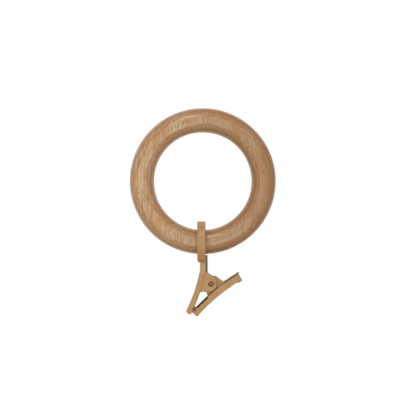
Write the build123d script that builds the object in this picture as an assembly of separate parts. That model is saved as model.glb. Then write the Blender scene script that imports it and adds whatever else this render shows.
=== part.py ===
"""Wooden curtain ring with a sprung plastic clip.

The ring stands in the XZ plane with its centre at the origin, and its opening faces along Y.
The clip hangs below it at -Z. Its eye goes round the ring's section, and its jaws meet at the
bottom. All sizes are in millimetres.
"""

from build123d import *
from math import acos, asin, atan2, cos, degrees, hypot, radians, sin, tan
import os

# Ring
ring_bore = 35.0
ring_section = 8.8

# Clip body: the eye, the stem below it and the fixed jaw with its two ears
eye_clearance = 0.3
eye_wall = 2.75
eye_width = 3.0
eye_split_width = 0.25
eye_split_angle = 12.0
eye_edge_chamfer = 0.3
eye_shoulder_radius = 1.25
stem_thickness = 1.98
stem_length = 2.65
stem_bend_radius = 8.0
neck_width = 6.4
plate_width = 10.0
flare_length = 3.6
jaw_lean_angle = 10.7
jaw_curve_radius = 55.3
jaw_thickness = 2.02
jaw_overhang_length = 1.0
jaw_tip_radius = 0.8
jaw_inner_edge_radius = 0.35
ear_thickness = 1.2
ear_inset = 0.3
ear_nose_radius = 2.92
ear_nose_setback = 0.8
ear_nose_rise = 0.14
ear_top_drop = 0.45
ear_root_radius = 0.9
plate_edge_radius = 0.3
ear_edge_radius = 0.25

# Hinge pin
pin_diameter = 2.06
pin_drop = 4.9
pin_end_recess = 0.12
pin_end_chamfer = 0.12
pin_seat_clearance = 0.01
pin_running_clearance = 0.05

# Lever: one curved bar, which is handle and jaw, with two cheeks on the pin
bar_thickness = 2.28
bar_width = 10.0
bar_curve_radius = 71.7
bar_pin_distance = 2.75
handle_reach = 10.0
jaw_reach = 11.72
handle_corner_radius = 1.5
jaw_corner_radius = 0.8
lip_height = 0.4
lip_length = 2.1
lip_edge_radius = 0.3
bar_edge_radius = 0.3
cheek_thickness = 1.1
cheek_clearance = 0.2
cheek_radius = 2.5
cheek_peak_radius = 3.25
cheek_peak_angle = 59.5
cheek_handle_reach = 4.1
cheek_jaw_reach = 3.75
jaw_gap = 0.14

# Teeth across both jaws
tooth_count = 3
tooth_pitch = 0.7
tooth_gap = 0.1

# Spring: one steel strip, up the stem, round the pin and along the handle
strip_thickness = 0.5
strip_cheek_gap = 0.2
strip_seat_height = 0.3
strip_seat_width = 2.6
strip_seat_inset = 0.1
strip_seat_drop = 0.9
strip_seat_clearance = 0.02
strip_pin_gap = 0.11
strip_bend_clearance = 0.52
strip_ring_gap = 0.3
strip_handle_gap = 0.12
strip_handle_reach = 9.85
strip_curl_radius = 0.5
strip_curl_angle = 50.0

# Grip strip, let into the lever's jaw
grip_thickness = 0.45
grip_depth = 0.36
grip_tooth_gap = 0.15
grip_cheek_gap = 0.1
grip_seat_clearance = 0.02

# Worked out from the sizes above: the ring and the eye
section_radius = ring_section / 2
ring_radius = ring_bore / 2 + section_radius
eye_z = -ring_radius
eye_inner = section_radius + eye_clearance
eye_outer = eye_inner + eye_wall
eye_bottom = eye_z - eye_outer
stem_right = stem_thickness / 2
stem_left = -stem_right
eye_left = stem_right - eye_width

# The spring's upper leg lies on a seat on the stem, and the hinge pin stands clear of it
pin_radius = pin_diameter / 2
seat_face_x = stem_right + strip_seat_height
strip_x = seat_face_x + strip_seat_clearance + strip_thickness / 2
strip_top = -(ring_radius + section_radius) - strip_ring_gap
pin_x = strip_x + strip_thickness / 2 + strip_pin_gap + pin_radius
corner_z = eye_bottom - stem_length
pin_z = corner_z - pin_drop
pin = (pin_x, pin_z)
ear_outer_y = plate_width / 2 - ear_inset
ear_inner_y = ear_outer_y - ear_thickness
cheek_outer_y = ear_inner_y - cheek_clearance
cheek_inner_y = cheek_outer_y - cheek_thickness


def polar(center, radius, angle):
    """The point at this radius and angle, in degrees, from a centre."""
    return (center[0] + radius * cos(radians(angle)), center[1] + radius * sin(radians(angle)))


def bearing(center, point):
    """The angle, in degrees, at which a centre sees a point."""
    return degrees(atan2(point[1] - center[1], point[0] - center[0]))


def distance(a, b):
    """The distance between two points."""
    return hypot(a[0] - b[0], a[1] - b[1])


def tangent_point(point, center, radius, side):
    """Where a line from a point touches a circle, on its left (1) or right (-1) side."""
    away = distance(point, center)
    return polar(center, radius, bearing(center, point) + side * degrees(acos(radius / away)))


def arc_degrees(length, radius):
    """The angle that an arc of this length and radius covers."""
    return degrees(length / radius)


# The fixed jaw is a shallow arc that starts at the foot of the stem and leans away to the left
jaw_center = polar((stem_left, corner_z), jaw_curve_radius, 180 - jaw_lean_angle)
jaw_inner = jaw_curve_radius + jaw_thickness

# The lever turns on the pin until its jaw's end lies a small gap from the fixed jaw
bar_end_bearing = 90 + arc_degrees(jaw_reach, bar_curve_radius)
bar_end_local = polar((0, -bar_pin_distance - bar_curve_radius), bar_curve_radius, bar_end_bearing)
end_reach = hypot(*bar_end_local)
end_circle = jaw_inner + jaw_gap
pin_away = distance(pin, jaw_center)
end_turn = degrees(acos((end_reach**2 + pin_away**2 - end_circle**2) / (2 * end_reach * pin_away)))
end_bearing = bearing(pin, jaw_center) + end_turn
bar_slope = (end_bearing - bearing((0, 0), bar_end_local)) % 360
bar_center = polar(pin, bar_pin_distance + bar_curve_radius, bar_slope - 90)
bar_normal = bar_slope + 90
bar_end = polar(pin, end_reach, end_bearing)
jaw_end_angle = bearing(jaw_center, bar_end) - arc_degrees(jaw_overhang_length, jaw_inner)

# The grip strip runs along the lever's jaw, between the last tooth and the cheeks
grip_low = jaw_reach - (tooth_count + 0.5) * tooth_pitch - grip_tooth_gap
grip_high = cheek_jaw_reach + grip_cheek_gap


def bar_point(along, height=0.0):
    """A point over the bar's inner face: its way along from the pin to the jaw, and its height."""
    return polar(bar_center, bar_curve_radius + height, bar_normal + arc_degrees(along, bar_curve_radius))


def sector(center, inner, outer, start, end):
    """A strip between two arcs of one centre, from one angle to another, as a face."""
    middle = (start + end) / 2
    edges = [
        ThreePointArc(polar(center, outer, start), polar(center, outer, middle), polar(center, outer, end)),
        Line(polar(center, outer, end), polar(center, inner, end)),
        ThreePointArc(polar(center, inner, end), polar(center, inner, middle), polar(center, inner, start)),
        Line(polar(center, inner, start), polar(center, outer, start)),
    ]
    return make_face(edges)


def bar_sector(low, high, start, end):
    """A strip that follows the bar, between two heights over its inner face."""
    angles = [bar_normal + arc_degrees(along, bar_curve_radius) for along in (start, end)]
    return sector(bar_center, bar_curve_radius + low, bar_curve_radius + high, *angles)


def across(face, width):
    """A face in the XZ plane made this wide along Y, half on each side."""
    return extrude(Plane.XZ * face, amount=width / 2, both=True)


def pair(face, inner_y, outer_y):
    """Two plates of one outline, one on each side of the middle."""
    plate = extrude(Plane.XZ.offset(inner_y) * face, amount=outer_y - inner_y)
    return plate + mirror(plate, about=Plane.XZ)


def teeth_line():
    """Where the zigzag between the jaws starts, its direction, and its points as (along, room, swing)."""
    fixed_face = bearing(jaw_center, bar_end) + 90
    bar_face = bar_normal + arc_degrees(jaw_reach, bar_curve_radius) - 90
    direction = (fixed_face + bar_face) / 2
    spread = tan(radians((fixed_face - bar_face) / 2))
    points = []
    for step in range(2 * tooth_count + 2):
        along = step * tooth_pitch / 2
        room = jaw_gap / 2 + along * spread
        swing = (room - tooth_gap / 2) * (1 if step % 2 else -1)
        points.append((along, room, swing))
    return polar(bar_end, jaw_gap / 2, direction + 90), direction, points


def teeth_face(side, depth):
    """The teeth of one jaw: side is 1 for the lever's and -1 for the fixed jaw's, sunk this deep."""
    start, direction, points = teeth_line()
    if side < 0:
        points = points[:-1]

    def place(along, offset):
        return polar(polar(start, along, direction), offset, direction - 90)

    crest = [place(along, swing + side * tooth_gap / 2) for along, room, swing in points]
    along, room, swing = points[-1]
    crest[-1] = place(along, side * room)
    back = [place(along, side * (room + depth)), place(0, side * (jaw_gap / 2 + depth))]
    return make_face(Polyline(*crest, *back, close=True))


def make_ring():
    """The turned ring: a round section carried round the opening."""
    return Rot(90, 0, 0) * Torus(ring_radius, section_radius)


def round_corner(outline, point, radius):
    """The outline with the corner at this point rounded."""
    return fillet(outline.vertices().sort_by_distance((*point, 0))[0], radius)


def side_edges(solid, outer_y):
    """The edges round the flat sides that lie this far from the middle."""

    def on_side(edge):
        return all(abs(abs(edge.position_at(part).Y) - outer_y) < 1e-4 for part in (0, 0.5, 1))

    return solid.edges().filter_by(on_side)


def is_upright(edge):
    """Whether an edge runs in the XZ plane, through the thickness of a bar."""
    return edge.geom_type == GeomType.LINE and abs(edge.position_at(0).Y - edge.position_at(1).Y) < 1e-4


def stem_outline():
    """The stem and the fixed jaw seen along Y, bent smoothly into each other."""
    top = eye_bottom + eye_wall / 3
    foot_angle = -degrees(acos((stem_right - jaw_center[0]) / jaw_inner))
    foot = polar(jaw_center, jaw_inner, foot_angle)
    corner = (stem_left, corner_z)
    tip_outer = polar(jaw_center, jaw_curve_radius, jaw_end_angle)
    tip_inner = polar(jaw_center, jaw_inner, jaw_end_angle)
    outer_middle = polar(jaw_center, jaw_curve_radius, (jaw_end_angle - jaw_lean_angle) / 2)
    inner_middle = polar(jaw_center, jaw_inner, (jaw_end_angle + foot_angle) / 2)
    edges = [
        Line((stem_left, top), corner),
        ThreePointArc(corner, outer_middle, tip_outer),
        Line(tip_outer, tip_inner),
        ThreePointArc(tip_inner, inner_middle, foot),
        Line(foot, (stem_right, top)),
        Line((stem_right, top), (stem_left, top)),
    ]
    outline = make_face(edges)
    outline = round_corner(outline, tip_outer, jaw_tip_radius)
    outline = round_corner(outline, tip_inner, jaw_inner_edge_radius)
    outline = round_corner(outline, corner, stem_bend_radius)
    return round_corner(outline, foot, stem_bend_radius)


def flare_outline():
    """The stem and jaw seen along X: a neck under the eye that widens to the full plate."""
    neck_z = eye_bottom + eye_wall / 3
    flare_z = eye_bottom - flare_length
    low_z = bar_end[1] - plate_width
    right = [(neck_width / 2, neck_z), (plate_width / 2, flare_z), (plate_width / 2, low_z)]
    left = [(-y, z) for y, z in reversed(right)]
    return make_face(Polyline(*right, *left, close=True))


def ear_outline():
    """One ear seen along Y: from the foot of the stem round the pin and back to the jaw."""
    nose = (pin_x - ear_nose_setback, pin_z + ear_nose_rise)
    low_z = nose[1] - ear_nose_radius
    root_angle = degrees(asin((low_z - jaw_center[1]) / jaw_inner))
    top = (stem_right, corner_z - ear_top_drop)
    touch = tangent_point(top, nose, ear_nose_radius, -1)
    root = polar(jaw_center, jaw_inner, root_angle)
    inside = polar(jaw_center, jaw_inner - jaw_thickness / 2, root_angle)
    fan = make_face(Polyline((0, top[1]), top, touch, nose, (nose[0], low_z), root, inside, close=True))
    backing_radius = jaw_inner - 3 * jaw_thickness / 4
    backing = sector(jaw_center, backing_radius, jaw_inner, -jaw_lean_angle - 1, 1.2 * root_angle)
    ear = fan + Pos(*nose) * Circle(ear_nose_radius) + backing
    return round_corner(ear, root, ear_root_radius)


def make_eye():
    """The round eye, a bevelled bar turned about the X axis, its lower left corner taken off."""
    middle_x = stem_right - eye_width / 2
    bar = Pos(middle_x, eye_z + eye_inner + eye_wall / 2) * Rectangle(eye_width, eye_wall)
    bar = chamfer(bar.vertices(), eye_edge_chamfer)
    eye = revolve(Plane.XZ * bar, axis=Axis((0, 0, eye_z), (1, 0, 0)))
    edge = Pos(middle_x, eye_z) * Rectangle(eye_width, 2 * eye_outer)
    edge = round_corner(edge, (eye_left, eye_bottom), eye_shoulder_radius)
    return eye & across(edge, 3 * eye_outer)


def seat_outline():
    """The spring's seat seen along Y: a low pad on the eye and the stem, down past the foot."""
    depth = strip_seat_height + stem_thickness / 2
    low_z = corner_z - strip_seat_drop
    length = strip_top - strip_seat_inset - low_z
    return Pos(seat_face_x - depth / 2, low_z + length / 2) * Rectangle(depth, length)


def make_body():
    """The clip body, one moulding: eye, stem, spring seat, fixed jaw with its teeth, and two ears."""
    reach = 2 * plate_width
    stem = across(stem_outline(), plate_width)
    stem = fillet(side_edges(stem, plate_width / 2), plate_edge_radius)
    body = (stem & extrude(Plane.YZ * flare_outline(), amount=reach, both=True)) + make_eye()
    body += across(seat_outline(), strip_seat_width)
    ears = pair(ear_outline(), ear_inner_y, ear_outer_y)
    body += fillet(side_edges(ears, ear_outer_y), ear_edge_radius)
    body += across(teeth_face(-1, jaw_thickness / 3), plate_width - 2 * plate_edge_radius)
    body -= across(Pos(*pin) * Circle(pin_radius + pin_seat_clearance), reach)
    slot = Rot(eye_split_angle, 0, 0) * Box(reach, 3 * eye_wall, eye_split_width)
    return body - Pos(0, eye_inner + eye_wall / 2, eye_z) * slot


def cheek_outline():
    """One cheek of the lever: a round on the pin that spreads to the bar."""
    peak = polar(pin, cheek_peak_radius, cheek_peak_angle)
    heel = bar_point(-cheek_handle_reach, -bar_thickness / 2)
    toe = bar_point(cheek_jaw_reach, -bar_thickness / 2)
    web = [peak, bar_point(-cheek_handle_reach), heel, toe, bar_point(cheek_jaw_reach)]
    left = tangent_point(web[-1], pin, cheek_radius, -1)
    top = polar(pin, cheek_radius, 90)
    return make_face(Polyline(*web, left, pin, top, close=True)) + Pos(*pin) * Circle(cheek_radius)


def make_bar():
    """The lever's bar, rounded at its corners and edges, with the lip under its handle end."""
    bar = across(bar_sector(-bar_thickness, 0, -handle_reach, jaw_reach), bar_width)
    bar = fillet(bar.edges().filter_by(is_upright).sort_by(Axis.X)[:2], jaw_corner_radius)
    bar = fillet(bar.edges().filter_by(is_upright).sort_by(Axis.X)[-2:], handle_corner_radius)
    bar = fillet(bar.edges().filter_by(lambda edge: not is_upright(edge)), bar_edge_radius)
    lip_foot = -bar_thickness - lip_height
    outline = bar_sector(lip_foot, -bar_thickness / 2, -handle_reach, lip_length - handle_reach)
    for along in (-handle_reach, lip_length - handle_reach):
        outline = round_corner(outline, bar_point(along, lip_foot), lip_edge_radius)
    return bar + across(outline, bar_width - 2 * handle_corner_radius)


def make_lever():
    """The lever, one moulding: the bar with its end lip and teeth, and two cheeks."""
    cheeks = pair(cheek_outline(), cheek_inner_y, cheek_outer_y)
    lever = make_bar() + cheeks
    lever += across(teeth_face(1, bar_thickness / 3), bar_width - 2 * bar_edge_radius)
    lever -= across(bar_sector(-grip_depth - grip_seat_clearance, 0, grip_high, grip_low), 2 * bar_width)
    return lever - across(Pos(*pin) * Circle(pin_radius + pin_running_clearance), bar_width)


def make_pin():
    """The steel pin, pressed into the ears, its ends a little below their faces."""
    length = 2 * (ear_outer_y - pin_end_recess)
    shaft = Cylinder(pin_radius, length)
    shaft = chamfer(shaft.edges().filter_by(GeomType.CIRCLE), pin_end_chamfer)
    return Pos(pin_x, 0, pin_z) * Rot(90, 0, 0) * shaft


def make_spring():
    """The spring strip: a leg up the stem, a bend round the pin and a leg along the handle."""
    half = strip_thickness / 2
    bend_radius = pin_radius + strip_bend_clearance + half
    bend = (strip_x + bend_radius, pin_z)
    end = bar_point(-strip_handle_reach, strip_handle_gap + half)
    leave = tangent_point(end, bend, bend_radius, -1)
    leg_angle = bearing(leave, end)
    leg = distance(leave, end)
    upper = Pos(strip_x, (strip_top + pin_z) / 2) * Rectangle(strip_thickness, strip_top - pin_z)
    turn = sector(bend, bend_radius - half, bend_radius + half, 180, bearing(bend, leave) + 360)
    middle = polar(leave, leg / 2, leg_angle)
    lower = Pos(*middle) * Rot(0, 0, leg_angle) * Rectangle(leg, strip_thickness)
    curl_center = polar(end, strip_curl_radius, leg_angle + 90)
    curl_start = leg_angle - 90
    curl_end = curl_start + strip_curl_angle
    curl = sector(curl_center, strip_curl_radius - half, strip_curl_radius + half, curl_start, curl_end)
    return across(upper + turn + lower + curl, 2 * (cheek_inner_y - strip_cheek_gap))


def make_grip():
    """The grip strip, let into the lever's jaw across its whole width."""
    ends = (grip_high + grip_seat_clearance, grip_low - grip_seat_clearance)
    return across(bar_sector(-grip_depth, grip_thickness - grip_depth, *ends), bar_width)


os.makedirs("parts", exist_ok=True)
export_step(make_ring(), "parts/wooden_ring.step")
export_step(make_body(), "parts/clip_body.step")
export_step(make_lever(), "parts/clip_lever.step")
export_step(make_pin(), "parts/hinge_pin.step")
export_step(make_spring(), "parts/spring_strip.step")
export_step(make_grip(), "parts/grip_strip.step")
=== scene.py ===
import math

import bpy
import numpy as np
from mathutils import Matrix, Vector


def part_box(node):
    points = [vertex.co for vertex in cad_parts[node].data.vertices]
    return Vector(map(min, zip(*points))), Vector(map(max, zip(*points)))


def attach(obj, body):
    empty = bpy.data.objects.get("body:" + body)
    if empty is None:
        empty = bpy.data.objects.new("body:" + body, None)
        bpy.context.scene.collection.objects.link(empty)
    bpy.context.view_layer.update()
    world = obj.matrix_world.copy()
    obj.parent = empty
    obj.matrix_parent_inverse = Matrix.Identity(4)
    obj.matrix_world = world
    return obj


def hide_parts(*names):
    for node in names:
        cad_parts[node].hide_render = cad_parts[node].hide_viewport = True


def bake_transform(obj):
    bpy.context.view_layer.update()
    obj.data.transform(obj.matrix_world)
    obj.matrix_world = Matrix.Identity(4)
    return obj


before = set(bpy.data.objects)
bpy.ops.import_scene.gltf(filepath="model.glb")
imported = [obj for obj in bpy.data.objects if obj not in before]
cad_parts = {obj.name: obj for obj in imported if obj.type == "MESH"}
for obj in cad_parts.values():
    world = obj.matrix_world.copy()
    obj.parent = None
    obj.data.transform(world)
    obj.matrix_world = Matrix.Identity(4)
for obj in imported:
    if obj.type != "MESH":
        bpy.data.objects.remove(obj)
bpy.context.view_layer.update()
millimetre = 0.001


# Camera: level with the part and square to the ring, a long lens on a photo 400 pixels wide and high
photo = {
    "pixels": 400,
    "pixelsPerMm": 2.777,
    "ringCentrePixel": (202.76, 181.2),
    "sensorMm": 36.0,
    "cameraDistance": 0.9,  # metres, as are the next two
    "seenFrom": 0.01,
    "seenTo": 20.0,
}


def makeCamera():
    # It looks at the photo's middle, which is as far from the ring's centre as the pixels between
    # them say. The lens's length is to the distance as the sensor is to the width that it takes in.
    across = (photo["pixels"] / 2 - photo["ringCentrePixel"][0]) / photo["pixelsPerMm"] * millimetre
    down = (photo["pixels"] / 2 - photo["ringCentrePixel"][1]) / photo["pixelsPerMm"] * millimetre
    frameWidth = photo["pixels"] / photo["pixelsPerMm"] * millimetre
    data = bpy.data.cameras.new("photoCamera")
    data.sensor_width = photo["sensorMm"]
    data.lens = photo["sensorMm"] * photo["cameraDistance"] / frameWidth
    data.clip_start = photo["seenFrom"]
    data.clip_end = photo["seenTo"]
    camera = bpy.data.objects.new("photoCamera", data)
    camera.location = (across, -photo["cameraDistance"], -down)
    camera.rotation_euler = (math.radians(90), 0, 0)
    bpy.context.scene.collection.objects.link(camera)
    bpy.context.scene.camera = camera


makeCamera()
print("camera ready")


# Node and colour helpers
def hexToLinear(code):
    # sRGB hex to linear light: each channel through the sRGB curve
    channels = [int(code[i : i + 2], 16) / 255 for i in (0, 2, 4)]
    linear = [c / 12.92 if c <= 0.04045 else ((c + 0.055) / 1.055) ** 2.4 for c in channels]
    return (*linear, 1.0)


def addNode(tree, kind, settings=None, links=None):
    # settings: a property's name, or an input's name or number, with its value; "stops" gives a
    # colour ramp its places and hex colours
    # links: an input's name or number, with the (node, output) that feeds it
    node = tree.nodes.new(kind)
    for key, value in (settings or {}).items():
        if key == "stops":
            elements = node.color_ramp.elements
            while len(elements) < len(value):
                elements.new(1.0)
            for element, (place, code) in zip(elements, value):
                element.position = place
                element.color = hexToLinear(code)
        elif isinstance(key, str) and hasattr(node, key):
            setattr(node, key, value)
        else:
            node.inputs[key].default_value = value
    for key, (source, output) in (links or {}).items():
        tree.links.new(source.outputs[output], node.inputs[key])
    return node


def newMaterial(name):
    material = bpy.data.materials.new(name)
    material.use_nodes = True
    material.node_tree.nodes.clear()
    return material, material.node_tree


# Ring: varnished beech, turned from a flat board, so the grain runs straight up and down all over it.
# Satin varnish gives a broad soft highlight. Beech shows fine streaks, short dark flecks and, where
# the round section cuts through the growth rings, reddish lines that follow its edges.
beech = {
    "tones": [(0.42, "9F6D3F"), (0.66, "C5A27A"), (0.9, "E3C8A6")],
    "grains": {
        # name: width and length in millimetres, then the noise's detail, roughness and distortion.
        # Real fibres and flecks are finer, and these are as coarse as they need to be to show.
        "streaks": (0.5, 10.0, 3.0, 0.6, 0.3),
        "fibres": (0.36, 3.6, 1.0, 0.5, 0.0),
        "patches": (7.0, 11.2, 2.0, 0.5, 0.0),
        "flecks": (0.42, 1.8, 0.0, 0.5, 0.0),
        "drift": (7.0, 14.0, 1.0, 0.5, 0.0),
    },
    "fibreShare": 0.35,  # of the streaks
    "ringMm": {"growthRings": 3.4, "fineRings": 1.1},
    "growthPlaceMm": 0.5,
    "growthDriftMm": 1.3,
    "growthTilt": (0.05, 1.0, 0.03),  # how fast the layers change across, through and up the board
    "growthAmount": (0.2, 0.82),  # at the board's left and right edge
    "boardWidthMm": 60.0,
    "stains": {
        # name: colour, the values of its pattern where it starts and is full, and how strong it is.
        # The heart's pattern is the way across the board, from 0 at its left edge to 1, and the
        # growth rings are as strong as growthAmount says, in place of the 1.0 here.
        "patches": ("C28D56", 0.42, 0.66, 0.6),
        "growthRings": ("8C4814", 0.25, 1.0, 1.0),
        "fineRings": ("8C4814", 0.6, 1.0, 0.35),
        "heart": ("986C42", 0.0, 1.0, 0.7),
        "flecks": ("875A38", 0.64, 0.74, 0.4),
    },
    "streakRange": (0.3, 0.8),
    "roughness": (0.37, 0.5),  # at the streaks' two ends
    "varnishWeight": 0.55,
    "varnishRoughness": 0.22,
    "varnishIor": 1.45,
    "woodIor": 1.25,  # under varnish the wood itself reflects little
    "bumpMm": 0.02,
    "bumpStrength": 0.3,
}


def makeBeech():
    # Noise drawn out along the grain gives streaks and fibres, which choose a tone. Then each stain
    # is laid over the wood, as strong as its own pattern says.
    material, tree = newMaterial("satinVarnishedBeech")
    place = addNode(tree, "ShaderNodeTexCoord")
    grains = {}
    for name, (width, length, detail, roughness, distortion) in beech["grains"].items():
        cycles = [1 / (size * millimetre) for size in (width, width, length)]
        scaled = addNode(tree, "ShaderNodeMapping", {"Scale": cycles}, {"Vector": (place, "Object")})
        settings = {"Scale": 1.0, "Detail": detail, "Roughness": roughness, "Distortion": distortion}
        grains[name] = addNode(tree, "ShaderNodeTexNoise", settings, {"Vector": (scaled, 0)})
    patterns = {name: (grains[name], "Fac") for name in ("patches", "flecks")}

    # growth rings are even layers that lie nearly flat in the board: they change through its
    # thickness, light to dark and back, and drift a little
    board = addNode(
        tree,
        "ShaderNodeMapping",
        {"Scale": beech["growthTilt"], "Location": (0, beech["growthPlaceMm"] * millimetre, 0)},
        {"Vector": (place, "Object")},
    )
    drifted = addNode(
        tree,
        "ShaderNodeVectorMath",
        {"operation": "MULTIPLY_ADD", 1: (0, beech["growthDriftMm"] * millimetre, 0)},
        {0: (grains["drift"], "Color"), 2: (board, 0)},
    )
    waveLength = math.pi / 10  # between the wave texture's bands at a scale of 1
    for name, ringMm in beech["ringMm"].items():
        layers = addNode(
            tree,
            "ShaderNodeTexWave",
            {"bands_direction": "Y", "wave_profile": "SIN", "Scale": waveLength / (ringMm * millimetre)},
            {"Vector": (drifted, 0)},
        )
        patterns[name] = (layers, "Fac")

    # towards its left edge the board is paler and yellower, with fainter growth rings
    sides = addNode(tree, "ShaderNodeSeparateXYZ", links={"Vector": (place, "Object")})
    half = beech["boardWidthMm"] / 2 * millimetre
    across = addNode(
        tree,
        "ShaderNodeMapRange",
        {"From Min": -half, "From Max": half},
        {"Value": (sides, "X")},
    )
    patterns["heart"] = (across, 0)
    fainter, stronger = beech["growthAmount"]
    growthAmount = addNode(
        tree,
        "ShaderNodeMapRange",
        {"To Min": fainter, "To Max": stronger},
        {"Value": (across, 0)},
    )

    texture = addNode(
        tree,
        "ShaderNodeMath",
        {"operation": "MULTIPLY_ADD", 1: beech["fibreShare"]},
        {0: (grains["fibres"], "Fac"), 2: (grains["streaks"], "Fac")},
    )
    wood = addNode(tree, "ShaderNodeValToRGB", {"stops": beech["tones"]}, {"Fac": (texture, 0)})
    colour = (wood, 0)
    for name, (code, low, high, amount) in beech["stains"].items():
        share = addNode(
            tree,
            "ShaderNodeMapRange",
            {"From Min": low, "From Max": high, "To Max": amount},
            {"Value": patterns[name]},
        )
        if name == "growthRings":
            tree.links.new(growthAmount.outputs[0], share.inputs["To Max"])
        stainAndShadeMix = addNode(
            tree,
            "ShaderNodeMix",
            {"data_type": "RGBA", 7: hexToLinear(code)},
            {0: (share, 0), 6: colour},
        )
        colour = (stainAndShadeMix, 2)

    smoothest, roughest = beech["roughness"]
    low, high = beech["streakRange"]
    roughness = addNode(
        tree,
        "ShaderNodeMapRange",
        {"From Min": low, "From Max": high, "To Min": smoothest, "To Max": roughest},
        {"Value": (grains["streaks"], "Fac")},
    )
    bump = addNode(
        tree,
        "ShaderNodeBump",
        {"Strength": beech["bumpStrength"], "Distance": beech["bumpMm"] * millimetre},
        {"Height": (texture, 0)},
    )
    shader = addNode(
        tree,
        "ShaderNodeBsdfPrincipled",
        {
            "Coat Weight": beech["varnishWeight"],
            "Coat Roughness": beech["varnishRoughness"],
            "Coat IOR": beech["varnishIor"],
            "IOR": beech["woodIor"],
        },
        {"Base Color": colour, "Roughness": (roughness, 0), "Normal": (bump, 0)},
    )
    addNode(tree, "ShaderNodeOutputMaterial", links={"Surface": (shader, 0)})
    return material


# Clip: nylon coloured tan in the melt and injection moulded. It is dense and satin, with a slight
# cloudiness from the flow of the melt, a fine skin texture and a little light let in.
tanPlastic = {
    "tones": [(0.3, "AF834D"), (0.5, "B48A56"), (0.72, "BA905D")],
    "flowMm": 3.2,
    "flowDetail": 3.0,
    "flowDistortion": 0.6,
    "skinMm": 0.35,  # coarser than the mould's real texture, so that it shows
    "skinDetail": 2.0,
    "skinRange": (0.3, 0.7),
    "roughness": (0.38, 0.5),  # at the skin's two ends
    "bumpMm": 0.008,
    "bumpStrength": 0.4,
    "ior": 1.5,
    "lightShare": 0.15,
    "lightDepthMm": 0.3,
    "lightReach": (1.0, 0.6, 0.35),  # red goes deepest
    # painted shade: where the teeth mesh, their gaps are coloured dark reddish brown as their shadow
    "paintedShadePlaceMm": (-2.97, -45.93),  # the middle of the teeth, across and up
    "paintedShadeReachMm": (0.35, 1.05),
    "paintedShadeAmount": 0.9,
    "paintedShadeColour": "7A2C04",
}


def makeTanPlastic():
    # Two noises: a broad one chooses the tone, and a fine one is the moulded skin. The painted shade of
    # the teeth falls off with the distance from them, seen along Y.
    material, tree = newMaterial("mouldedTanNylon")
    place = addNode(tree, "ShaderNodeTexCoord")
    flow = addNode(
        tree,
        "ShaderNodeTexNoise",
        {
            "Scale": 1 / (tanPlastic["flowMm"] * millimetre),
            "Detail": tanPlastic["flowDetail"],
            "Distortion": tanPlastic["flowDistortion"],
        },
        {"Vector": (place, "Object")},
    )
    skin = addNode(
        tree,
        "ShaderNodeTexNoise",
        {"Scale": 1 / (tanPlastic["skinMm"] * millimetre), "Detail": tanPlastic["skinDetail"]},
        {"Vector": (place, "Object")},
    )
    colour = addNode(tree, "ShaderNodeValToRGB", {"stops": tanPlastic["tones"]}, {"Fac": (flow, "Fac")})
    # painted shade: the gaps between the meshing teeth are coloured reddish brown as their shadow,
    # darkest at their middle
    shadeX, shadeZ = tanPlastic["paintedShadePlaceMm"]
    flat = addNode(tree, "ShaderNodeMapping", {"Scale": (1, 0, 1)}, {"Vector": (place, "Object")})
    apart = addNode(
        tree,
        "ShaderNodeVectorMath",
        {"operation": "DISTANCE", 1: (shadeX * millimetre, 0, shadeZ * millimetre)},
        {0: (flat, 0)},
    )
    nearest, farthest = tanPlastic["paintedShadeReachMm"]
    share = addNode(
        tree,
        "ShaderNodeMapRange",
        {
            "From Min": nearest * millimetre,
            "From Max": farthest * millimetre,
            "To Min": tanPlastic["paintedShadeAmount"],
            "To Max": 0.0,
        },
        {"Value": (apart, "Value")},
    )
    stainAndShadeMix = addNode(
        tree,
        "ShaderNodeMix",
        {"data_type": "RGBA", 7: hexToLinear(tanPlastic["paintedShadeColour"])},
        {0: (share, 0), 6: (colour, 0)},
    )
    smoothest, roughest = tanPlastic["roughness"]
    low, high = tanPlastic["skinRange"]
    roughness = addNode(
        tree,
        "ShaderNodeMapRange",
        {"From Min": low, "From Max": high, "To Min": smoothest, "To Max": roughest},
        {"Value": (skin, "Fac")},
    )
    bump = addNode(
        tree,
        "ShaderNodeBump",
        {"Strength": tanPlastic["bumpStrength"], "Distance": tanPlastic["bumpMm"] * millimetre},
        {"Height": (skin, "Fac")},
    )
    shader = addNode(
        tree,
        "ShaderNodeBsdfPrincipled",
        {
            "IOR": tanPlastic["ior"],
            "Subsurface Weight": tanPlastic["lightShare"],
            "Subsurface Radius": tanPlastic["lightReach"],
            "Subsurface Scale": tanPlastic["lightDepthMm"] * millimetre,
        },
        {"Base Color": (stainAndShadeMix, 2), "Roughness": (roughness, 0), "Normal": (bump, 0)},
    )
    addNode(tree, "ShaderNodeOutputMaterial", links={"Surface": (shader, 0)})
    return material


# Pin: plain steel wire, cut to length and oiled. Its sheared ends are dull and brownish, with smears.
pinSteel = {
    "tones": [(0.35, "543C2B"), (0.65, "8A6950")],
    "smearMm": 0.5,
    "smearDetail": 4.0,
    "smearDistortion": 1.2,
    "roughness": 0.48,
    "bumpMm": 0.02,
    "bumpStrength": 0.4,
}


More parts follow.
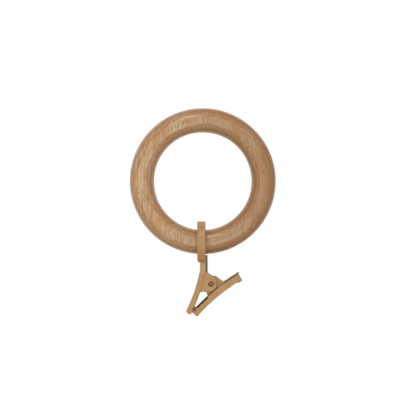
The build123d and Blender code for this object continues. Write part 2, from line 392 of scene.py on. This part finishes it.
def makePinSteel():
    material, tree = newMaterial("shearedSteelWire")
    place = addNode(tree, "ShaderNodeTexCoord")
    smears = addNode(
        tree,
        "ShaderNodeTexNoise",
        {
            "Scale": 1 / (pinSteel["smearMm"] * millimetre),
            "Detail": pinSteel["smearDetail"],
            "Distortion": pinSteel["smearDistortion"],
        },
        {"Vector": (place, "Object")},
    )
    colour = addNode(tree, "ShaderNodeValToRGB", {"stops": pinSteel["tones"]}, {"Fac": (smears, "Fac")})
    bump = addNode(
        tree,
        "ShaderNodeBump",
        {"Strength": pinSteel["bumpStrength"], "Distance": pinSteel["bumpMm"] * millimetre},
        {"Height": (smears, "Fac")},
    )
    shader = addNode(
        tree,
        "ShaderNodeBsdfPrincipled",
        {"Metallic": 1.0, "Roughness": pinSteel["roughness"]},
        {"Base Color": (colour, 0), "Normal": (bump, 0)},
    )
    addNode(tree, "ShaderNodeOutputMaterial", links={"Surface": (shader, 0)})
    return material


# Spring: cold-rolled strip steel, bright with fine lines along its length, a little straw-coloured
stripSteel = {
    "tones": [(0.3, "6E6357"), (0.7, "988E81")],
    "lineMm": 0.12,  # coarser than real rolling lines, so that they show
    "runMm": 6.0,
    "lineDetail": 3.0,
    "lineRange": (0.3, 0.7),
    "roughness": (0.32, 0.48),  # at the lines' two ends
    "bumpMm": 0.01,
    "bumpStrength": 0.3,
}


def makeStripSteel():
    material, tree = newMaterial("rolledSpringSteel")
    place = addNode(tree, "ShaderNodeTexCoord")
    # narrow across Y, and long in the plane that the strip is bent in
    cycles = [1 / (stripSteel[size] * millimetre) for size in ("runMm", "lineMm", "runMm")]
    drawn = addNode(tree, "ShaderNodeMapping", {"Scale": cycles}, {"Vector": (place, "Object")})
    lines = addNode(
        tree,
        "ShaderNodeTexNoise",
        {"Scale": 1.0, "Detail": stripSteel["lineDetail"]},
        {"Vector": (drawn, 0)},
    )
    colour = addNode(tree, "ShaderNodeValToRGB", {"stops": stripSteel["tones"]}, {"Fac": (lines, "Fac")})
    smoothest, roughest = stripSteel["roughness"]
    low, high = stripSteel["lineRange"]
    roughness = addNode(
        tree,
        "ShaderNodeMapRange",
        {"From Min": low, "From Max": high, "To Min": smoothest, "To Max": roughest},
        {"Value": (lines, "Fac")},
    )
    bump = addNode(
        tree,
        "ShaderNodeBump",
        {"Strength": stripSteel["bumpStrength"], "Distance": stripSteel["bumpMm"] * millimetre},
        {"Height": (lines, "Fac")},
    )
    shader = addNode(
        tree,
        "ShaderNodeBsdfPrincipled",
        {"Metallic": 1.0},
        {"Base Color": (colour, 0), "Roughness": (roughness, 0), "Normal": (bump, 0)},
    )
    addNode(tree, "ShaderNodeOutputMaterial", links={"Surface": (shader, 0)})
    return material


# Grip: soft dark rubber, cut from sheet, matt with a fine pebble
gripRubber = {
    "tones": [(0.35, "341E10"), (0.7, "472B18")],
    "pebbleMm": 0.22,
    "pebbleDetail": 3.0,
    "roughness": 0.72,
    "ior": 1.4,
    "bumpMm": 0.03,
    "bumpStrength": 0.6,
}


def makeGripRubber():
    material, tree = newMaterial("darkSheetRubber")
    place = addNode(tree, "ShaderNodeTexCoord")
    pebble = addNode(
        tree,
        "ShaderNodeTexNoise",
        {"Scale": 1 / (gripRubber["pebbleMm"] * millimetre), "Detail": gripRubber["pebbleDetail"]},
        {"Vector": (place, "Object")},
    )
    colour = addNode(tree, "ShaderNodeValToRGB", {"stops": gripRubber["tones"]}, {"Fac": (pebble, "Fac")})
    bump = addNode(
        tree,
        "ShaderNodeBump",
        {"Strength": gripRubber["bumpStrength"], "Distance": gripRubber["bumpMm"] * millimetre},
        {"Height": (pebble, "Fac")},
    )
    shader = addNode(
        tree,
        "ShaderNodeBsdfPrincipled",
        {"Roughness": gripRubber["roughness"], "IOR": gripRubber["ior"]},
        {"Base Color": (colour, 0), "Normal": (bump, 0)},
    )
    addNode(tree, "ShaderNodeOutputMaterial", links={"Surface": (shader, 0)})
    return material


materials = {
    "wooden_ring": makeBeech(),
    "clip_body": makeTanPlastic(),
    "hinge_pin": makePinSteel(),
    "spring_strip": makeStripSteel(),
    "grip_strip": makeGripRubber(),
}
materials["clip_lever"] = materials["clip_body"]
print("materials ready:", len(materials))


# Surface helpers
def gridPiece(name, points, closed, caps, material):
    # A grid of points, rows by columns, made into quads. closed says whether the rows and the
    # columns join up at their ends; caps closes an open row direction with a flat face at each end.
    # Faces point outwards where the way from row to row, crossed with the way from column to
    # column, does.
    rows, columns = points.shape[:2]
    rowSteps = np.arange(rows if closed[0] else rows - 1)
    columnSteps = np.arange(columns if closed[1] else columns - 1)
    i, j = np.meshgrid(rowSteps, columnSteps, indexing="ij")
    nextI, nextJ = (i + 1) % rows, (j + 1) % columns
    corners = [i * columns + j, nextI * columns + j, nextI * columns + nextJ, i * columns + nextJ]
    faces = np.stack(corners, axis=-1).reshape(-1, 4).tolist()
    if caps:
        faces.append(list(range(columns)))
        faces.append([(rows - 1) * columns + k for k in reversed(range(columns))])
    mesh = bpy.data.meshes.new(name)
    mesh.from_pydata(points.reshape(-1, 3).tolist(), [], faces)
    mesh.polygons.foreach_set("use_smooth", np.ones(len(faces), bool))
    mesh.materials.append(material)
    mesh.update()
    piece = bpy.data.objects.new(name, mesh)
    bpy.context.scene.collection.objects.link(piece)
    return piece


def boxOf(node):
    low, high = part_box(node)
    return np.array(low), np.array(high)


def finishPiece(piece, node, body):
    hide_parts(node)
    if body:
        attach(piece, body)


# Wooden ring
ringPiece = {"stepsRound": 720, "stepsSection": 128, "waveMm": 0.03}


def makeRing():
    # A torus: at each angle round the opening a circle of the section, whose radius swells and
    # shrinks by a few hundredths of a millimetre, as sanding by hand leaves it. The circle starts
    # at its outermost point and goes towards -Y, so the faces point outwards.
    low, high = boxOf("wooden_ring")
    sectionRadius = (high[1] - low[1]) / 2
    centreRadius = (high[0] - low[0]) / 2 - sectionRadius
    turn = np.linspace(0, 2 * np.pi, ringPiece["stepsRound"], endpoint=False)[:, None]
    section = np.linspace(0, 2 * np.pi, ringPiece["stepsSection"], endpoint=False)[None, :]
    swell = (np.sin(3 * turn + 1) * np.cos(section) + np.sin(5 * turn) - 2) / 2  # never above 0
    radius = sectionRadius + ringPiece["waveMm"] * millimetre * swell
    reach = centreRadius + radius * np.cos(section)
    points = np.stack([reach * np.cos(turn), -radius * np.sin(section), reach * np.sin(turn)], axis=-1)
    piece = gridPiece("turnedRing", points, (True, True), False, materials["wooden_ring"])
    finishPiece(piece, "wooden_ring", "ring")


makeRing()
print("ring ready")


# Hinge pin
pinPiece = {
    "rimMm": 0.16,
    "dishMm": 0.05,
    "stepsRound": 96,
    "stepsRim": 8,
    "stepsEnd": 12,
    "innermost": 0.02,  # of the flat end's radius: inside it the end is closed by one face
}


def makePin():
    # A round bar along Y: its profile goes from the middle of the end at -Y, over a rounded rim,
    # along the side and over the other rim, and is turned about the pin's axis. Each end is
    # dished by a parabola, deepest in the middle.
    low, high = boxOf("hinge_pin")
    centre = (low + high) / 2
    radius = (high[0] - low[0]) / 2
    half = (high[1] - low[1]) / 2
    rim = pinPiece["rimMm"] * millimetre
    dish = pinPiece["dishMm"] * millimetre
    flatShare = np.linspace(pinPiece["innermost"], 1, pinPiece["stepsEnd"])
    flat = flatShare * (radius - rim)
    flatY = half - dish * (1 - flatShare**2)
    bend = np.linspace(0, np.pi / 2, pinPiece["stepsRim"])[1:]
    rimR = radius - rim + rim * np.sin(bend)
    rimY = half - rim + rim * np.cos(bend)
    profileR = np.concatenate([flat, rimR, rimR[::-1], flat[::-1]])
    profileY = np.concatenate([-flatY, -rimY, rimY[::-1], flatY[::-1]])
    turn = np.linspace(0, 2 * np.pi, pinPiece["stepsRound"], endpoint=False)[None, :]
    points = np.stack(
        [
            centre[0] + profileR[:, None] * np.cos(turn),
            centre[1] + profileY[:, None] + 0 * turn,
            centre[2] + profileR[:, None] * np.sin(turn),
        ],
        axis=-1,
    )
    piece = gridPiece("steelPin", points, (False, True), True, materials["hinge_pin"])
    finishPiece(piece, "hinge_pin", "clip")
    return centre, radius


pinCentre, pinRadius = makePin()
print("pin ready")


def sweepBand(name, path, normals, width, thickness, edge, material):
    # A flat band: a rectangle with rounded corners, across Y and along the path's normal, carried
    # along a path in the XZ plane, and closed at both ends. Each corner is a quarter circle about
    # a middle that lies the edge's radius inside both faces.
    cornerSteps = 5
    corner = np.linspace(0, np.pi / 2, cornerSteps)
    sides = []
    for quarter, (signY, signN) in enumerate([(1, 1), (-1, 1), (-1, -1), (1, -1)]):
        angle = corner + quarter * np.pi / 2
        acrossY = signY * (width / 2 - edge) + edge * np.cos(angle)
        acrossN = signN * (thickness / 2 - edge) + edge * np.sin(angle)
        sides.append(np.stack([acrossY, acrossN], -1))
    outline = np.concatenate(sides)
    points = np.zeros((len(path), len(outline), 3))
    points[:, :, 0] = path[:, None, 0] + normals[:, None, 0] * outline[None, :, 1]
    points[:, :, 1] = outline[None, :, 0]
    points[:, :, 2] = path[:, None, 1] + normals[:, None, 1] * outline[None, :, 1]
    return gridPiece(name, points, (False, True), True, material)


# The lever's bar, which the spring and the grip strip follow: an arc that passes under the pin
bar = {
    "radiusMm": 71.7,
    "pinDistanceMm": 2.75,
    "slope": 39.01,  # degrees from level, beside the pin
}


def barArc():
    # The bar's inner face is an arc: its centre lies square to the slope, below the pin by the
    # radius and the pin's distance together. The bearing is from that centre to the pin.
    radius = bar["radiusMm"] * millimetre
    away = radius + bar["pinDistanceMm"] * millimetre
    downward = math.radians(bar["slope"] - 90)
    toCentre = away * np.array([math.cos(downward), math.sin(downward)])
    centre = np.array([pinCentre[0], pinCentre[2]]) + toCentre
    return centre, radius, bar["slope"] + 90


def barPoint(alongMm, height):
    # a point over the bar's inner face, alongMm from the pin towards the jaw
    centre, radius, bearing = barArc()
    angle = math.radians(bearing) + alongMm / bar["radiusMm"]
    return centre + (radius + height) * np.array([math.cos(angle), math.sin(angle)])


# Spring strip: up the stem, round the pin and along the handle to its curled end
spring = {
    "thicknessMm": 0.5,
    "edgeMm": 0.08,
    "bendClearanceMm": 0.52,
    "handleGapMm": 0.12,
    "handleReachMm": 9.85,
    "curlRadiusMm": 0.5,
    "curlAngle": 50.0,
    "stepsLeg": 40,
    "stepsBend": 49,
    "stepsCurl": 13,
    "blendFrom": 0.8,  # of the bend's radius, left of its centre
    "blendTo": 0.6,  # right of it
}


def arcPath(centre, radius, start, end, steps):
    # points on an arc and the unit vectors from its centre to them
    angle = np.radians(np.linspace(start, end, steps))
    outward = np.stack([np.cos(angle), np.sin(angle)], -1)
    return np.array(centre) + radius * outward, outward


def makeSpring():
    # A band along four stretches in the XZ plane: straight down the stem, an arc round the pin, a
    # straight leg that leaves the arc on its tangent, and a short arc that curls the end up
    low, high = boxOf("spring_strip")
    thickness = spring["thicknessMm"] * millimetre
    upperX = low[0] + thickness / 2
    bendRadius = pinRadius + spring["bendClearanceMm"] * millimetre + thickness / 2
    bendCentre = np.array([upperX + bendRadius, pinCentre[2]])
    # the lower leg leaves the bend on a tangent that ends just over the bar's inner face
    legEnd = barPoint(-spring["handleReachMm"], spring["handleGapMm"] * millimetre + thickness / 2)
    away = legEnd - bendCentre
    tangent = math.acos(bendRadius / math.hypot(*away))
    leaveAngle = 360 + math.degrees(math.atan2(away[1], away[0]) - tangent)
    bend, bendOut = arcPath(bendCentre, bendRadius, 180, leaveAngle, spring["stepsBend"])
    upperZ = np.linspace(high[2], pinCentre[2], spring["stepsLeg"], endpoint=False)
    upper = np.stack([np.full_like(upperZ, upperX), upperZ], -1)
    upperOut = np.tile([-1.0, 0.0], (len(upper), 1))
    along = np.linspace(0, 1, spring["stepsLeg"])[1:, None]
    leg = bend[-1] + along * (legEnd - bend[-1])
    legOut = np.tile(bendOut[-1], (len(leg), 1))
    curlRadius = spring["curlRadiusMm"] * millimetre
    curlCentre = leg[-1] - curlRadius * bendOut[-1]
    curlEnd = leaveAngle + spring["curlAngle"]
    curl, curlOut = arcPath(curlCentre, curlRadius, leaveAngle, curlEnd, spring["stepsCurl"])
    path = np.concatenate([upper, bend, leg, curl[1:]])
    normals = np.concatenate([upperOut, bendOut, legOut, curlOut[1:]])
    width = high[1] - low[1]
    edge = spring["edgeMm"] * millimetre
    piece = sweepBand("springStrip", path, normals, width, thickness, edge, materials["spring_strip"])
    finishPiece(piece, "spring_strip", None)
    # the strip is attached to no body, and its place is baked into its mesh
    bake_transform(piece)


makeSpring()
print("spring ready")


# Grip strip: a rubber band bent to the lever's curve, let into its jaw
grip = {
    "startMm": 3.87,
    "endMm": 9.1,
    "depthMm": 0.36,
    "thicknessMm": 0.45,
    "edgeMm": 0.12,
    "steps": 49,
}


def makeGrip():
    # A band along an arc about the bar's own centre, let in by its depth, so that the rest of its
    # thickness stands proud of the bar's inner face
    low, high = boxOf("grip_strip")
    centre, radius, bearing = barArc()
    angles = [bearing + math.degrees(grip[end] / bar["radiusMm"]) for end in ("startMm", "endMm")]
    middle = radius + (grip["thicknessMm"] / 2 - grip["depthMm"]) * millimetre
    path, outward = arcPath(centre, middle, *angles, grip["steps"])
    width = high[1] - low[1]
    thickness = grip["thicknessMm"] * millimetre
    edge = grip["edgeMm"] * millimetre
    piece = sweepBand("gripStrip", path, outward, width, thickness, edge, materials["grip_strip"])
    finishPiece(piece, "grip_strip", "lever")


makeGrip()
print("grip ready")


# The clip's two mouldings keep their own forms and take the tan plastic
for node in ("clip_body", "clip_lever"):
    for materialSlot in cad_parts[node].material_slots:
        materialSlot.material = materials[node]
print("mouldings ready")


# Stage: a pale floor well below the hanging part, fading to white, and soft light from the front
# left, from above and from a little below
stage = {
    "floorDepth": 0.45,  # metres, as are the other lengths here
    "floorHalf": 1.2,  # of its width
    "floorColour": "EDEDED",
    "fadeFrom": 0.3,
    "fadeTo": 1.0,
    "worldLight": 0.57,
    "lamps": {
        # name: power in watts, place, size of its square face
        "keySoftbox": (1.0, (-0.45, -1.0, 0.1), 0.5),
        "topSoftbox": (3.1, (-0.16, -0.72, 0.84), 0.26),
        "lowSoftbox": (0.85, (0.1, -0.75, -0.31), 0.25),
    },
}


def backgroundRays(tree):
    # 1 for rays that should meet plain white: the camera's own, mirrored and refracted ones
    rays = addNode(tree, "ShaderNodeLightPath")
    shiny = addNode(
        tree,
        "ShaderNodeMath",
        {"operation": "MAXIMUM"},
        {0: (rays, "Is Glossy Ray"), 1: (rays, "Is Transmission Ray")},
    )
    return addNode(
        tree,
        "ShaderNodeMath",
        {"operation": "MAXIMUM"},
        {0: (rays, "Is Camera Ray"), 1: (shiny, 0)},
    )


def makeFloor():
    # A level square. It is matt where its distance from the middle is small, and grows white with it.
    half = stage["floorHalf"]
    across, along = np.meshgrid(np.linspace(-half, half, 2), np.linspace(-half, half, 2), indexing="ij")
    points = np.stack([across, along, np.full_like(across, -stage["floorDepth"])], -1)
    material, tree = newMaterial("paleStudioFloor")
    place = addNode(tree, "ShaderNodeTexCoord")
    level = addNode(tree, "ShaderNodeMapping", {"Scale": (1, 1, 0)}, {"Vector": (place, "Object")})
    away = addNode(tree, "ShaderNodeVectorMath", {"operation": "LENGTH"}, {0: (level, 0)})
    fade = addNode(
        tree,
        "ShaderNodeMapRange",
        {"interpolation_type": "SMOOTHSTEP", "From Min": stage["fadeFrom"], "From Max": stage["fadeTo"]},
        {"Value": (away, "Value")},
    )
    seen = addNode(
        tree,
        "ShaderNodeMath",
        {"operation": "MULTIPLY"},
        {0: (fade, 0), 1: (backgroundRays(tree), 0)},
    )
    matt = addNode(tree, "ShaderNodeBsdfDiffuse", {"Color": hexToLinear(stage["floorColour"])})
    white = addNode(tree, "ShaderNodeEmission", {"Strength": 1.0})
    surface = addNode(tree, "ShaderNodeMixShader", links={0: (seen, 0), 1: (matt, 0), 2: (white, 0)})
    addNode(tree, "ShaderNodeOutputMaterial", links={"Surface": (surface, 0)})
    floor = gridPiece("studioFloor", points, (False, False), False, material)


def makeWorld():
    world = bpy.data.worlds.new("studioWorld")
    bpy.context.scene.world = world
    world.use_nodes = True
    tree = world.node_tree
    tree.nodes.clear()
    soft = addNode(tree, "ShaderNodeBackground", {"Color": (1, 1, 1, 1), "Strength": stage["worldLight"]})
    white = addNode(tree, "ShaderNodeBackground", {"Color": (1, 1, 1, 1), "Strength": 1.0})
    mixed = addNode(
        tree,
        "ShaderNodeMixShader",
        links={0: (backgroundRays(tree), 0), 1: (soft, 0), 2: (white, 0)},
    )
    addNode(tree, "ShaderNodeOutputWorld", links={"Surface": (mixed, 0)})


def makeLamp(name, power, place, size):
    data = bpy.data.lights.new(name, "AREA")
    data.energy = power
    data.size = size
    lamp = bpy.data.objects.new(name, data)
    lamp.location = place
    # a lamp shines along its own -Z, here at the origin, the middle of the ring
    lamp.rotation_euler = (-Vector(place)).to_track_quat("-Z", "Y").to_euler()
    bpy.context.scene.collection.objects.link(lamp)


makeFloor()
makeWorld()
for lampName, (power, place, size) in stage["lamps"].items():
    makeLamp(lampName, power, place, size)
bpy.context.scene.view_settings.view_transform = "Standard"
print("stage ready")
